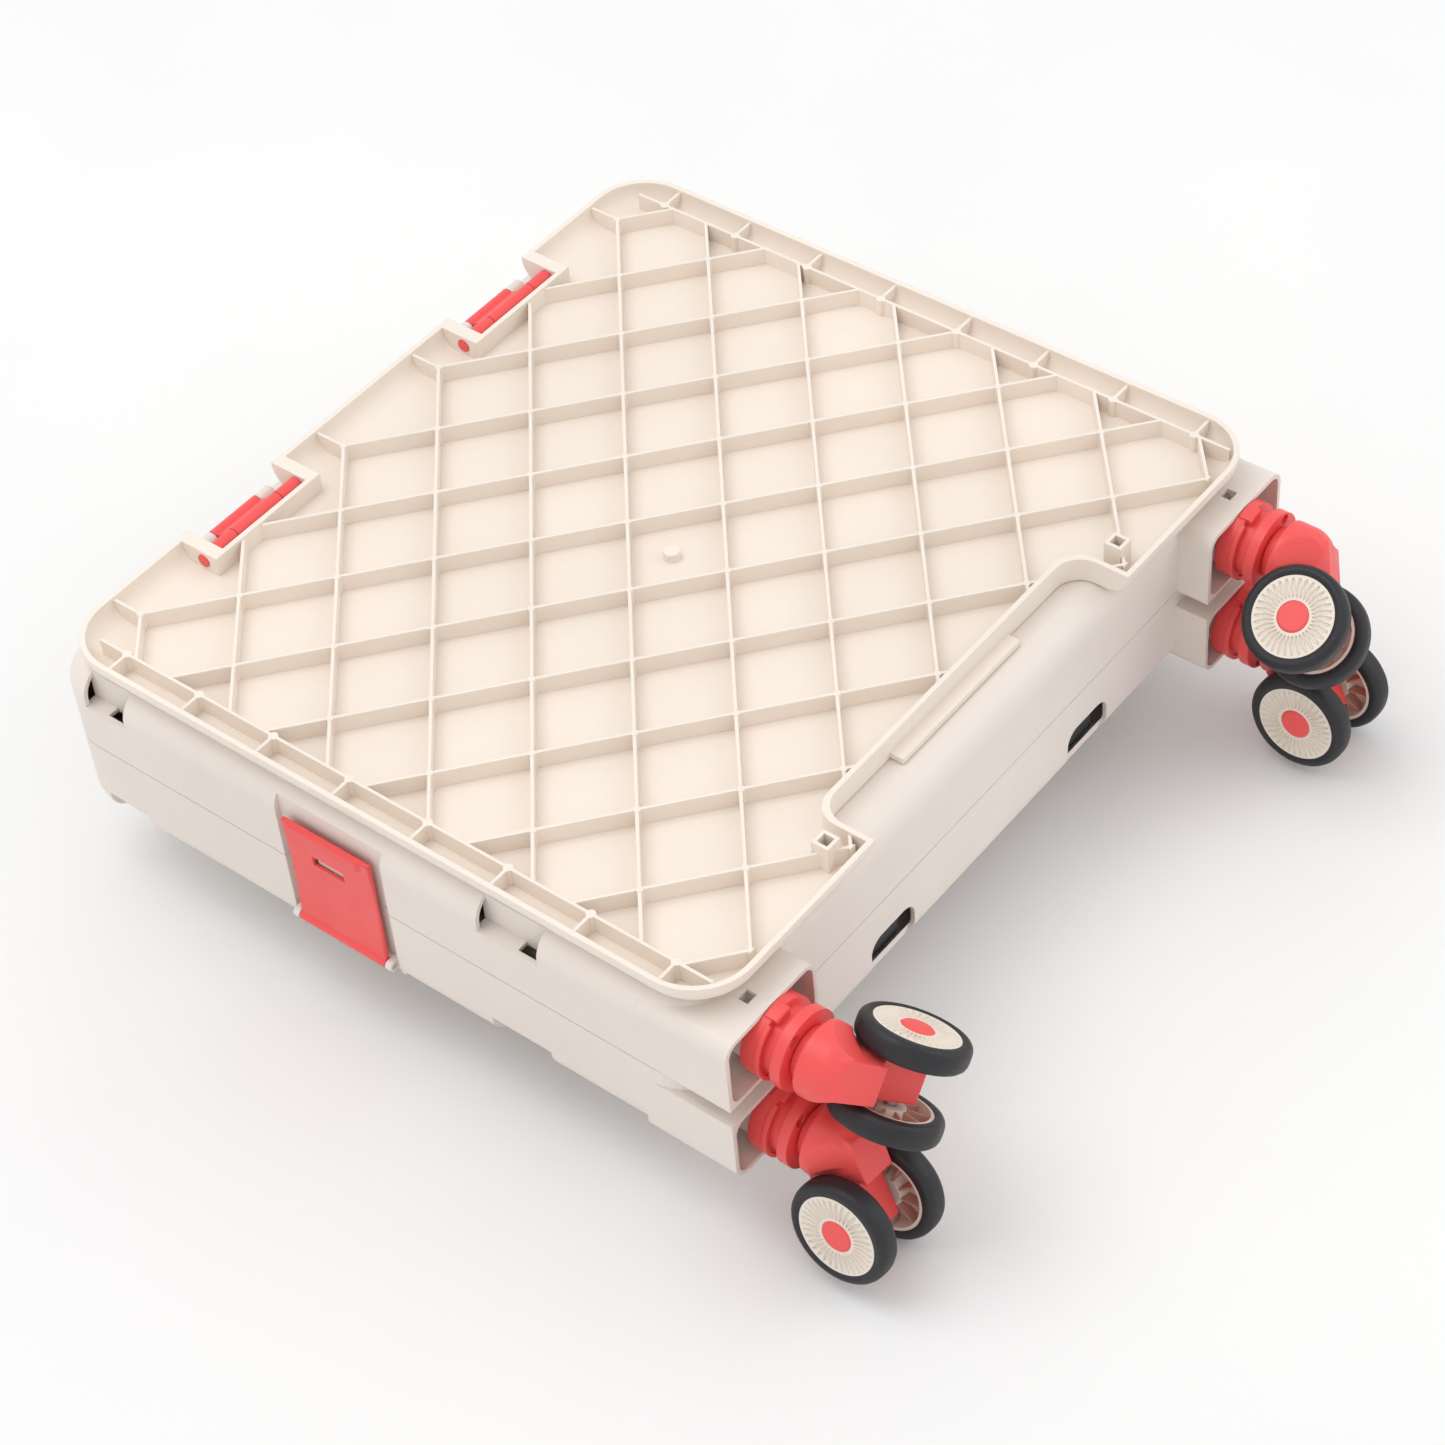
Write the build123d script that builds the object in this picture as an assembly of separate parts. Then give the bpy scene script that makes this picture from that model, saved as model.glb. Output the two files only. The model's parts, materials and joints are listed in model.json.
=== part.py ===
from build123d import *
import os
from math import cos, sin, radians, hypot

# A folding trolley crate, folded flat, in millimetres.
# +X runs from the lid hinge to the casters, +Y across the width, +Z up through the folded pack.
# The origin is the centre of the rear shell's flat outer face, which the folded cart lies on.
# Unfolded and stood on its casters, +X points down to the floor.

# Shells: two shallow trays that meet mouth to mouth
SHELL_X = 213.0              # half height of the crate panel
SHELL_Y = 239.0              # half width
CORNER_R = 28.0
SHOULDER_R = 16.0            # rounding between a shell's face and its side walls
WALL = 2.6
PARTING_Z = 53.0
PARTING_GAP = 0.4
DECK_Z = 102.0               # outer face of the front shell
LOWER_TOP = PARTING_Z - PARTING_GAP / 2
UPPER_BOTTOM = PARTING_Z + PARTING_GAP / 2

# Caster sockets at the +X corners of each shell
SOCKET_END_X = 232.0
SOCKET_BACK_X = 178.0
SOCKET_MOUTH_X = 214.0       # floor of the socket's hollow
BOSS_END_X = 228.0           # end of the ring that the collar sits against
BOSS_R = 17.5
SOCKET_IN_Y = 170.0
LOWER_SOCKET_Z = (0.0, 42.0)
UPPER_SOCKET_Z = (UPPER_BOTTOM, 98.0)
SOCKET_R = 9.0
CASTER_Y = 203.0
LOWER_CASTER_Z = 17.5
UPPER_CASTER_Z = 76.5
CASTERS = {
    "front_left": (-1, UPPER_CASTER_Z, -37.0),
    "front_right": (1, UPPER_CASTER_Z, -143.0),
    "rear_left": (-1, LOWER_CASTER_Z, -101.0),
    "rear_right": (1, LOWER_CASTER_Z, -95.0),
}

# Caster: distances along the swivel axis, and the twin wheels
COLLAR_X = 228.0
COLLAR_END_X = 251.0
COLLAR_R = 21.5
GROOVE_X = (237.5, 245.0)
GROOVE_R = 17.5
EYELET_R = 3.2
EYELET_ANGLES = (60, 240)
NECK_R = 14.0
STEM_R = 5.0
STEM_DEPTH = 9.0             # how far the stem reaches into the fork
FORK_X = 257.0
FORK_R = 20.0
AXLE_X = 286.0
TRAIL = 29.5
WHEEL_R = 28.5
WHEEL_W = 13.0
WHEEL_INNER = 13.0           # inner face of a wheel from the caster's middle plane
COVER_R = 22.0
CAP_R = 8.6
ARM_HALF = 10.5
AXLE_R = 3.0
FIT = 0.05                   # running clearance on a radius
BODY_GAP = 0.4               # clearance between moving bodies

# Lid: a ribbed tray, folded back on the front shell with its ribs outwards
LID_X0 = -204.0
LID_X1 = 222.0
LID_Y = 236.0
LID_BOTTOM = DECK_Z + 0.5
LID_FLOOR = 2.5
LID_TOP = 117.0
LID_WALL = 3.0
LID_CORNER_R = 33.0
LID_FLARE_R = 12.5
RIB_TOP = 115.4
RIB_T = 1.8
CELL_X = 66.0                # diagonals of one rib cell
CELL_Y = 77.8
FIRST_NODE_X = -182.0
INNER_RIB_Y = 219.5
NOTCH_X = 188.0
NOTCH_Y = 108.0
NOTCH_R = 15.0
TONGUE = (8.0, 50.0)         # reach and half width of the tongue in the notch
POST_X = 205.0
POST_Y = 124.0               # catch posts at the lid's free edge
POST_HALF = 5.0
POST_TOP = 121.0
POST_SLOT_Z = (11.0, 25.0)   # slots in the rear shell that the posts enter when the lid is shut

# Lid hinges: two coral links, each pinned to the lid and to the front shell
HINGE_Y = 104.0
LINK_HALF = 17.0
POCKET_HALF = 32.0
POCKET_SEAT = 8.0            # thickness of the pocket's side walls, which hold the pin
LID_PIN_X = -186.0
LID_PIN_Z = 111.0
SHELL_PIN_X = -203.5
SHELL_PIN_Z = 99.5
BARREL_R = 4.6
PIN_HEAD = (3.8, 2.0)        # radius and thickness of a lid pin's head

# Folding sides: two leaves on each side, hinged like an accordion
SIDE_PIN_Y = 222.0
SIDE_PIN_Z = 37.0
LEAF_RISE = 14.0             # from a shell's side pin to the middle pin
MID_PIN_Y = 48.0
MID_PIN_Z = SIDE_PIN_Z + LEAF_RISE
UPPER_PIN_Z = MID_PIN_Z + LEAF_RISE
LEAF_X0 = -201.0
LEAF_X1 = 168.0
LEAF_SKIN = 2.4
LEAF_DEPTH = 9.0
ROD_R = 2.0
KNUCKLE_R = 4.5
SHELL_KNUCKLE = 20.0
KNUCKLE_PITCH = 72.0

# Finger scoops in the long sides of both shells
SCOOPS_X = ((-186.0, -158.0), (80.0, 118.0))
SCOOP_DEPTH = 9.0
SCOOP_H = 17.0
SCOOP_SLOT = 14.0            # length of the slot in a scoop's ledge

# Latch on the -Y side
LATCH_X = (-46.0, 12.0)
LATCH_Z = (9.0, 86.0)
LATCH_Y = -238.8
LATCH_T = 3.6
LATCH_PIN_Z = 14.0
LATCH_RECESS = 3.4

# Telescopic handle in the rear shell
TUBE_Y = 86.0
TUBE_Z = 17.0
TUBE_SIZES = ((22.0, 14.0), (18.4, 10.4), (14.8, 6.8))
TUBE_WALL = 1.3
TUBE_STARTS = (-192.0, -194.0, -199.0)
TUBE_END_X = 196.0
GRIP_X = (-212.0, -195.0)
GRIP_Y = 99.0
GRIP_Z = (8.0, 26.0)
FLOOR_Z = 26.0               # underside of the stowed floor panel, over the tubes


def block(x, y, z):
    """A box between two corners given as (low, high) pairs."""
    size = [b - a for a, b in (x, y, z)]
    middle = [(a + b) / 2 for a, b in (x, y, z)]
    return Pos(*middle) * Box(*size)


def rod(start, axis, length, radius):
    """A round bar from a point along X or Y."""
    turn = {"x": (0, 90, 0), "y": (-90, 0, 0)}[axis]
    return Pos(*start) * Rot(*turn) * Cylinder(radius, length, align=(Align.CENTER, Align.CENTER, Align.MIN))


def rounded_slab(x, y, z, corner, edge, edge_at_top):
    """A block with rounded vertical corners and one rounded rim."""
    slab = block(x, y, z)
    slab = fillet(slab.edges().filter_by(Axis.Z), corner)
    rim = slab.faces().sort_by(Axis.Z)[-1 if edge_at_top else 0].edges()
    return fillet(rim, edge)


def joined(shapes):
    """All shapes fused into one."""
    result = shapes[0]
    for shape in shapes[1:]:
        result += shape
    return result


def mirror_y(shape):
    return mirror(shape, about=Plane.XZ)


def both_sides(shape):
    return shape + mirror_y(shape)


def knuckle_centres():
    count = int((LEAF_X1 - LEAF_X0 - SHELL_KNUCKLE) // KNUCKLE_PITCH) + 1
    first = (LEAF_X0 + LEAF_X1) / 2 - (count - 1) * KNUCKLE_PITCH / 2
    return [first + i * KNUCKLE_PITCH for i in range(count)]


def socket_block(z, top_round):
    """The box at a +X corner that holds a caster."""
    box = block((SOCKET_BACK_X, SOCKET_END_X), (SOCKET_IN_Y, SHELL_Y), z)
    face = box.faces().sort_by(Axis.Z)[-1 if top_round else 0]
    return fillet(face.edges().filter_by(Axis.X), SOCKET_R)


def socket_mouth(z, inset):
    """The hollow of a caster socket, drawn in by an inset."""
    low, high = z
    gap = WALL + inset
    mouth = block((SOCKET_MOUTH_X, SOCKET_END_X + 1), (SOCKET_IN_Y + gap, SHELL_Y - gap), (low + gap, high - gap))
    return fillet(mouth.edges().filter_by(Axis.X), SOCKET_R - WALL)


def socket_cut(z, axis_z):
    """The socket's mouth and the hole for the caster's stem."""
    boss = rod((SOCKET_MOUTH_X - 1, CASTER_Y, axis_z), "x", BOSS_END_X - SOCKET_MOUTH_X + 1, BOSS_R)
    mouth = socket_mouth(z, 0) - boss
    hole = rod((SOCKET_BACK_X - 1, CASTER_Y, axis_z), "x", 60, STEM_R + FIT)
    return mouth + hole


def side_knuckles(pin_z):
    """Shell knuckles for one row of side leaves, reaching in from the +Y wall."""
    arm = block((0, SHELL_KNUCKLE), (SIDE_PIN_Y, SHELL_Y - 1), (pin_z - 4, pin_z + 4))
    arm += rod((0, SIDE_PIN_Y, pin_z), "x", SHELL_KNUCKLE, KNUCKLE_R)
    arm -= rod((-1, SIDE_PIN_Y, pin_z), "x", SHELL_KNUCKLE + 2, ROD_R + FIT)
    return [Pos(x - SHELL_KNUCKLE / 2, 0, 0) * arm for x in knuckle_centres()]


def scoops(z):
    """Shallow finger scoops in the side walls, at both ends of the latch."""
    return [block(x, (SHELL_Y - SCOOP_DEPTH, SHELL_Y + 2), z) for x in SCOOPS_X]


def tray(x_half, y_half, z, opens_up):
    outer = rounded_slab((-x_half, x_half), (-y_half, y_half), z, CORNER_R, SHOULDER_R, not opens_up)
    inner_z = (z[0] + WALL, z[1] + 1) if opens_up else (z[0] - 1, z[1] - WALL)
    inner = rounded_slab((WALL - x_half, x_half - WALL), (WALL - y_half, y_half - WALL), inner_z,
                         CORNER_R - WALL, SHOULDER_R - WALL, not opens_up)
    return outer, inner


def latch_recess(z):
    return block((LATCH_X[0] - 6, LATCH_X[1] + 6), (-SHELL_Y - 1, -SHELL_Y + LATCH_RECESS), z)


def lower_shell():
    outer, inner = tray(SHELL_X, SHELL_Y, (0.0, LOWER_TOP), True)
    shell = outer - inner
    shell += both_sides(socket_block(LOWER_SOCKET_Z, False))
    shell += block((LATCH_X[0] - 9, LATCH_X[1] + 9), (-SHELL_Y + 1, -SHELL_Y + 6), (8, LOWER_TOP))
    for knuckle in side_knuckles(SIDE_PIN_Z):
        shell += both_sides(knuckle)
    for x in (-150.0, 0.0, 150.0):
        saddle = block((x - 3, x + 3), (TUBE_Y - 16, TUBE_Y + 16), (1, TUBE_Z - TUBE_SIZES[0][1] / 2))
        shell += both_sides(saddle)
        shell += both_sides(block((x - 1, x + 1), (130, 205), (1, FLOOR_Z)))
    shell -= both_sides(socket_cut(LOWER_SOCKET_Z, LOWER_CASTER_Z))
    shell -= latch_recess((5, LOWER_TOP + 1))
    shell += latch_ears()
    shell -= block((-SHELL_X - 1, GRIP_X[1]), (-GRIP_Y - 2, GRIP_Y + 2), (GRIP_Z[0] - 1, GRIP_Z[1] + 1))
    shell -= both_sides(tube_window())
    for cut in scoops((-1, SCOOP_H)):
        shell -= both_sides(cut)
    for side in (-1, 1):
        y = side * POST_Y
        shell -= block((-SHELL_X - 1, -SHELL_X + WALL + 1), (y - POST_HALF - 1, y + POST_HALF + 1), POST_SLOT_Z)
    return shell + scoop_backs((0.5, SCOOP_H + WALL), (SCOOP_H, SCOOP_H + WALL))


def scoop_backs(z, ledge_z):
    """Inner walls and ledges that close the scoops from inside; a slot is left in each ledge."""
    back = SHELL_Y - SCOOP_DEPTH
    walls = []
    for x0, x1 in SCOOPS_X:
        walls.append(block((x0 - WALL, x1 + WALL), (back - WALL, back), z))
        walls.append(block((x0 - WALL, x1 - SCOOP_SLOT), (back - WALL, SHELL_Y - 1), ledge_z))
    return both_sides(joined(walls))


def tube_window():
    """The rounded window in the +X wall that shows the end of a handle tube."""
    window = block((SHELL_X - WALL - 1, SHELL_X + 1), (TUBE_Y - 18, TUBE_Y + 18), (4, 30))
    return fillet(window.edges().filter_by(Axis.X), 9)


def latch_ears():
    ears = []
    for x0, x1 in ((LATCH_X[0] - 4.4, LATCH_X[0] - BODY_GAP), (LATCH_X[1] + BODY_GAP, LATCH_X[1] + 4.4)):
        ear = rod((x0, LATCH_Y - LATCH_T / 2, LATCH_PIN_Z), "x", x1 - x0, 3.0)
        ear += block((x0, x1), (LATCH_Y - LATCH_T / 2, -SHELL_Y + 5), (LATCH_PIN_Z - 3, LATCH_PIN_Z + 3))
        ears.append(ear)
    return joined(ears) - rod((LATCH_X[0] - 6, LATCH_Y - LATCH_T / 2, LATCH_PIN_Z), "x",
                              LATCH_X[1] - LATCH_X[0] + 12, 1.5 + FIT)


def hinge_seat():
    """A thick pad behind one lid hinge, which carries the link's pocket and two knuckles."""
    return block((-SHELL_X + 1, -190), (HINGE_Y - POCKET_HALF, HINGE_Y + POCKET_HALF), (84, DECK_Z - 1))


def hinge_pocket():
    """The recess in the seat that the link turns in."""
    half = LINK_HALF + BODY_GAP
    return block((-SHELL_X - 6, -195), (HINGE_Y - half, HINGE_Y + half), (SHELL_PIN_Z - 11, DECK_Z + 6))


def hinge_knuckles():
    starts = (HINGE_Y - LINK_HALF - 10, HINGE_Y + LINK_HALF + BODY_GAP)
    return joined([rod((SHELL_PIN_X, y0, SHELL_PIN_Z), "y", 9.6, BARREL_R) for y0 in starts])


def hinge_bore():
    return rod((SHELL_PIN_X, HINGE_Y - LINK_HALF - 12, SHELL_PIN_Z), "y", 2 * LINK_HALF + 24, ROD_R + FIT)


def upper_shell():
    outer, inner = tray(SHELL_X, SHELL_Y, (UPPER_BOTTOM, DECK_Z), False)
    shell = outer - inner
    shell += both_sides(socket_block(UPPER_SOCKET_Z, True))
    backing = block((LATCH_X[0] - 9, LATCH_X[1] + 9), (-SHELL_Y + 1, -SHELL_Y + 9), (UPPER_BOTTOM, DECK_Z - 1))
    shell += backing & outer
    shell += both_sides(hinge_seat() & outer)
    for knuckle in side_knuckles(UPPER_PIN_Z):
        shell += both_sides(knuckle)
    shell -= both_sides(socket_cut(UPPER_SOCKET_Z, UPPER_CASTER_Z))
    window = block((217, 223), (CASTER_Y, CASTER_Y + 7), (90, DECK_Z))
    shell -= both_sides(window)
    shell -= latch_recess((UPPER_BOTTOM - 1, DECK_Z + 1))
    shell += block((-28, -6), (-SHELL_Y + 0.6, -SHELL_Y + 5), (61, 68))
    shell -= both_sides(hinge_pocket())
    shell += both_sides(hinge_knuckles())
    shell -= both_sides(hinge_bore())
    scoop_z = DECK_Z - SCOOP_H - 3
    for cut in scoops((scoop_z, DECK_Z + 1)):
        shell -= both_sides(cut)
    return shell + scoop_backs((scoop_z - WALL, DECK_Z - 1), (scoop_z - WALL, scoop_z))


def floor_panel():
    """The crate's floor, stowed flat in the rear shell over the handle tubes."""
    panel = block((-198, 166), (-204, 204), (FLOOR_Z, FLOOR_Z + 2.4))
    for y in range(-200, 201, 50):
        panel += block((-198, 166), (y - 1, y + 1), (FLOOR_Z, FLOOR_Z + 6.5))
    for x in (-197, -107, -16, 75, 165):
        panel += block((x - 1, x + 1), (-204, 204), (FLOOR_Z, FLOOR_Z + 6.5))
    return panel


def leaf(is_lower):
    """One +Y side leaf, folded flat; the lower one is hinged to the rear shell."""
    sign = 1 if is_lower else -1
    pin_z = SIDE_PIN_Z if is_lower else UPPER_PIN_Z
    skin_far = pin_z + sign * (LEAF_DEPTH - 1)
    z_skin = sorted((skin_far, skin_far - sign * LEAF_SKIN))
    z_all = sorted((pin_z - sign, skin_far))
    y_in, y_out = MID_PIN_Y + 8, SIDE_PIN_Y - 9
    plate = block((LEAF_X0, LEAF_X1), (y_in, y_out), z_skin)
    for y in (y_in + 1, (y_in + y_out) / 2, y_out - 1):
        plate += block((LEAF_X0, LEAF_X1), (y - 1, y + 1), z_all)
    rib_count = 6
    for i in range(rib_count):
        x = LEAF_X0 + 1 + i * (LEAF_X1 - LEAF_X0 - 2) / (rib_count - 1)
        plate += block((x - 1, x + 1), (y_in, y_out), z_all)
    plate += shell_side_knuckles(pin_z, y_out)
    plate += mid_knuckles(is_lower, y_in, sorted((skin_far, MID_PIN_Z + sign * 1.5)))
    plate -= rod((LEAF_X0 - 1, MID_PIN_Y, MID_PIN_Z), "x", 400, ROD_R + FIT)
    return plate


def shell_side_knuckles(pin_z, y_out):
    """A leaf's knuckles between the shell's own."""
    centres = knuckle_centres()
    length = KNUCKLE_PITCH - SHELL_KNUCKLE - 2 * BODY_GAP
    knuckles = []
    for a, b in zip(centres, centres[1:]):
        x0 = (a + b) / 2 - length / 2
        part = rod((x0, SIDE_PIN_Y, pin_z), "x", length, KNUCKLE_R - 0.3)
        part += block((x0, x0 + length), (y_out - 2, SIDE_PIN_Y), (pin_z - 1, pin_z + 1))
        part -= rod((x0 - 1, SIDE_PIN_Y, pin_z), "x", length + 2, ROD_R + FIT)
        knuckles.append(part)
    return joined(knuckles)


def mid_knuckles(is_lower, y_in, z_arm):
    """Knuckles on the middle pin; the two leaves take turns along it."""
    count = 9
    slot = (LEAF_X1 - LEAF_X0) / count
    knuckles = []
    for i in range(count):
        if (i % 2 == 0) != is_lower:
            continue
        x0 = LEAF_X0 + i * slot + BODY_GAP / 2
        length = slot - BODY_GAP
        part = rod((x0, MID_PIN_Y, MID_PIN_Z), "x", length, KNUCKLE_R)
        part += block((x0, x0 + length), (MID_PIN_Y, y_in + 2), z_arm_near(z_arm, is_lower))
        part += block((x0, x0 + length), (y_in, y_in + 2), z_arm)
        knuckles.append(part)
    return joined(knuckles)


def z_arm_near(z_arm, is_lower):
    """The flat web from a middle barrel to its leaf, on the leaf's own side of the pin."""
    if is_lower:
        return (MID_PIN_Z - KNUCKLE_R, MID_PIN_Z - 1.5)
    return (MID_PIN_Z + 1.5, MID_PIN_Z + KNUCKLE_R)


def lid_blank(inset, z):
    """The lid's plan shape, drawn in by an inset."""
    x = (LID_X0 + inset, LID_X1 - inset)
    y = (inset - LID_Y, LID_Y - inset)
    slab = rounded_slab(x, y, z, LID_CORNER_R - inset, LID_FLARE_R - inset, False)
    notch = block((NOTCH_X - inset, LID_X1 + 30), (-NOTCH_Y - inset, NOTCH_Y + inset), (z[0] - 1, z[1] + 1))
    notch = fillet(notch.edges().filter_by(Axis.Z).sort_by(Axis.X)[:2], NOTCH_R)
    return slab - notch


def diagonal_ribs():
    """Two families of ribs that cross to make the diamond pattern."""
    ribs = []
    length = 2 * hypot(LID_X1 - LID_X0, 2 * LID_Y)
    angle_length = hypot(CELL_X, CELL_Y)
    height = RIB_TOP - LID_BOTTOM - 1
    rib = Box(length, RIB_T, height)
    middle_z = LID_BOTTOM + 1 + height / 2
    for direction in (1, -1):
        bearing = direction * degrees_of(CELL_Y, CELL_X)
        for k in range(-3, 10):
            ribs.append(Pos(FIRST_NODE_X + k * CELL_X, 0.5 * CELL_Y * direction, middle_z)
                        * Rot(0, 0, bearing) * rib)
    return ribs


def degrees_of(rise, run):
    return Vector(1, 0, 0).get_angle(Vector(run, rise, 0))


def lid():
    tray_body = lid_blank(0, (LID_BOTTOM, LID_TOP))
    hollow = lid_blank(LID_WALL, (LID_BOTTOM + LID_FLOOR, LID_TOP + 1))
    body = tray_body - hollow
    field = block((FIRST_NODE_X - 0.5, LID_X1 - 7), (-INNER_RIB_Y, INNER_RIB_Y), (LID_BOTTOM + 1, RIB_TOP))
    inside = lid_blank(LID_WALL / 2, (LID_BOTTOM + 0.5, LID_TOP + 1))
    web = Compound(diagonal_ribs()) & field
    for side in (-1, 1):
        y = side * INNER_RIB_Y
        web += block((FIRST_NODE_X - 4, LID_X1 - 10), (y - RIB_T / 2, y + RIB_T / 2), (LID_BOTTOM + 1, RIB_TOP))
        for i in range(8):
            x = FIRST_NODE_X + 15 + i * 51.0
            web += block((x - RIB_T / 2, x + RIB_T / 2), sorted((y, side * LID_Y)), (LID_BOTTOM + 1, RIB_TOP))
            web += Pos(x, y, (LID_BOTTOM + 1 + RIB_TOP) / 2) * Cylinder(2.6, RIB_TOP - LID_BOTTOM - 1)
    for k in (-3, -1, 0, 2):
        y = (k + 0.5) * CELL_Y
        web += block((LID_X0, FIRST_NODE_X), (y - RIB_T / 2, y + RIB_T / 2), (LID_BOTTOM + 1, RIB_TOP))
    body += web & inside
    for side in (-1, 1):
        y = side * POST_Y
        core = POST_HALF - 2
        body += block((POST_X - POST_HALF, POST_X + POST_HALF), (y - POST_HALF, y + POST_HALF),
                      (LID_BOTTOM + 1, POST_TOP))
        body -= block((POST_X - core, POST_X + core), (y - core, y + core), (LID_BOTTOM + 4, POST_TOP + 1))
        body = lid_hinge_pocket(body, side)
    body += Pos(12, 0, LID_BOTTOM + 4) * Cylinder(4.5, 7)
    body += block((NOTCH_X - 1, NOTCH_X + TONGUE[0]), (-TONGUE[1], TONGUE[1]), (LID_BOTTOM, LID_BOTTOM + 3.4))
    return body


def lid_hinge_pocket(body, side):
    """A U-shaped pocket in the hinge edge, with the lid pin's two seats in its side walls."""
    y = sorted((side * (HINGE_Y - POCKET_HALF), side * (HINGE_Y + POCKET_HALF)))
    wall_x = LID_PIN_X + 10
    seat = POCKET_SEAT
    outer = block((LID_X0 + 2, wall_x), (y[0] - seat, y[1] + seat), (LID_BOTTOM + 1, LID_TOP))
    inside = lid_blank(0, (LID_BOTTOM, LID_TOP))
    body += outer & inside
    body -= block((LID_X0 - 1, wall_x - LID_WALL), y, (LID_BOTTOM - 1, LID_TOP + 1))
    bore_start = (LID_PIN_X, y[0] - 20, LID_PIN_Z)
    body -= rod(bore_start, "y", y[1] - y[0] + 40, ROD_R + FIT)
    head_y = side * HINGE_Y - POCKET_HALF - POCKET_SEAT
    body -= rod((LID_PIN_X, head_y - 3, LID_PIN_Z), "y", 3 + PIN_HEAD[1] + FIT, PIN_HEAD[0] + FIT)
    return body


def lid_pin():
    """A pin with thick end sleeves and a round head, held in the lid's pocket walls."""
    head_y = HINGE_Y - POCKET_HALF - POCKET_SEAT
    pin = rod((LID_PIN_X, head_y, LID_PIN_Z), "y", 2 * (POCKET_HALF + POCKET_SEAT) - 1, ROD_R)
    for y0, y1 in ((HINGE_Y - POCKET_HALF + BODY_GAP, HINGE_Y - LINK_HALF - BODY_GAP),
                   (HINGE_Y + LINK_HALF + BODY_GAP, HINGE_Y + POCKET_HALF - BODY_GAP)):
        pin += rod((LID_PIN_X, y0, LID_PIN_Z), "y", y1 - y0, BARREL_R)
    return pin + rod((LID_PIN_X, head_y - 0.6, LID_PIN_Z), "y", PIN_HEAD[1] + 0.6, PIN_HEAD[0])


def link():
    """The coral plate between a lid pin and a shell pin."""
    y0 = HINGE_Y - LINK_HALF
    run = 2 * LINK_HALF
    dx, dz = LID_PIN_X - SHELL_PIN_X, LID_PIN_Z - SHELL_PIN_Z
    plate = Box(hypot(dx, dz), run, 4)
    tilt = -Vector(1, 0, 0).get_angle(Vector(dx, 0, dz))
    body = Pos((LID_PIN_X + SHELL_PIN_X) / 2, HINGE_Y, (LID_PIN_Z + SHELL_PIN_Z) / 2) * Rot(0, tilt, 0) * plate
    for x, z in ((LID_PIN_X, LID_PIN_Z), (SHELL_PIN_X, SHELL_PIN_Z)):
        body += rod((x, y0, z), "y", run, BARREL_R)
    for x, z in ((LID_PIN_X, LID_PIN_Z), (SHELL_PIN_X, SHELL_PIN_Z)):
        body -= rod((x, y0 - 1, z), "y", run + 2, ROD_R + FIT)
    return body


def shell_hinge_pin():
    return rod((SHELL_PIN_X, HINGE_Y - LINK_HALF - 9.5, SHELL_PIN_Z), "y", 2 * LINK_HALF + 19, ROD_R)


def latch():
    y = (LATCH_Y - LATCH_T, LATCH_Y)
    plate = block(LATCH_X, y, (LATCH_PIN_Z, LATCH_Z[1]))
    plate = fillet(plate.edges().filter_by(Axis.Y).sort_by(Axis.Z)[-2:], 3)
    plate += rod((LATCH_X[0], LATCH_Y - LATCH_T / 2, LATCH_PIN_Z), "x", LATCH_X[1] - LATCH_X[0], 3)
    plate -= block((-29, -8), (y[0] - 1, y[1] + 1), (62, 67))
    plate -= block((LATCH_X[0] + 7, LATCH_X[1] - 7), (y[0] - 1, y[0] + 1.4), (76, LATCH_Z[1] + 1))
    plate -= rod((LATCH_X[0] - 1, LATCH_Y - LATCH_T / 2, LATCH_PIN_Z), "x",
                 LATCH_X[1] - LATCH_X[0] + 2, 1.5 + FIT)
    return plate


def latch_pin():
    return rod((LATCH_X[0] - 4.4, LATCH_Y - LATCH_T / 2, LATCH_PIN_Z), "x", LATCH_X[1] - LATCH_X[0] + 8.8, 1.5)


def tube(stage):
    """One hollow rectangular handle tube on the +Y side."""
    width, height = TUBE_SIZES[stage]
    x = (TUBE_STARTS[stage], TUBE_END_X - 3 * stage)
    outer = block(x, (TUBE_Y - width / 2, TUBE_Y + width / 2), (TUBE_Z - height / 2, TUBE_Z + height / 2))
    outer = fillet(outer.edges().filter_by(Axis.X), 2)
    inner_w, inner_h = width / 2 - TUBE_WALL, height / 2 - TUBE_WALL
    inner = block((x[0] - 1, x[1] + 1), (TUBE_Y - inner_w, TUBE_Y + inner_w), (TUBE_Z - inner_h, TUBE_Z + inner_h))
    return outer - inner


def tube_plug():
    """The plastic foot that closes an outer tube, seen through the shell's window."""
    width, height = TUBE_SIZES[0]
    plug = block((TUBE_END_X, SHELL_X - WALL - 3), (TUBE_Y - width / 2, TUBE_Y + width / 2),
                 (TUBE_Z - height / 2, TUBE_Z + height / 2))
    return fillet(plug.edges().filter_by(Axis.X), 3)


def handle_grip():
    grip = block(GRIP_X, (-GRIP_Y, GRIP_Y), GRIP_Z)
    grip = fillet(grip.edges().filter_by(Axis.Y), 4)
    grip -= block((GRIP_X[0] - 1, GRIP_X[0] + 8), (-21, 21), (TUBE_Z - 6, TUBE_Z + 6))
    width, height = TUBE_SIZES[2]
    for side in (-1, 1):
        y = side * TUBE_Y
        grip -= block((TUBE_STARTS[2], GRIP_X[1] + 1), (y - width / 2, y + width / 2),
                      (TUBE_Z - height / 2, TUBE_Z + height / 2))
    return grip


def release_button():
    button = block((GRIP_X[0] + 0.5, GRIP_X[0] + 4.5), (-20.5, 20.5), (TUBE_Z - 5.5, TUBE_Z + 5.5))
    return fillet(button.edges().filter_by(Axis.X), 4)


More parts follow.
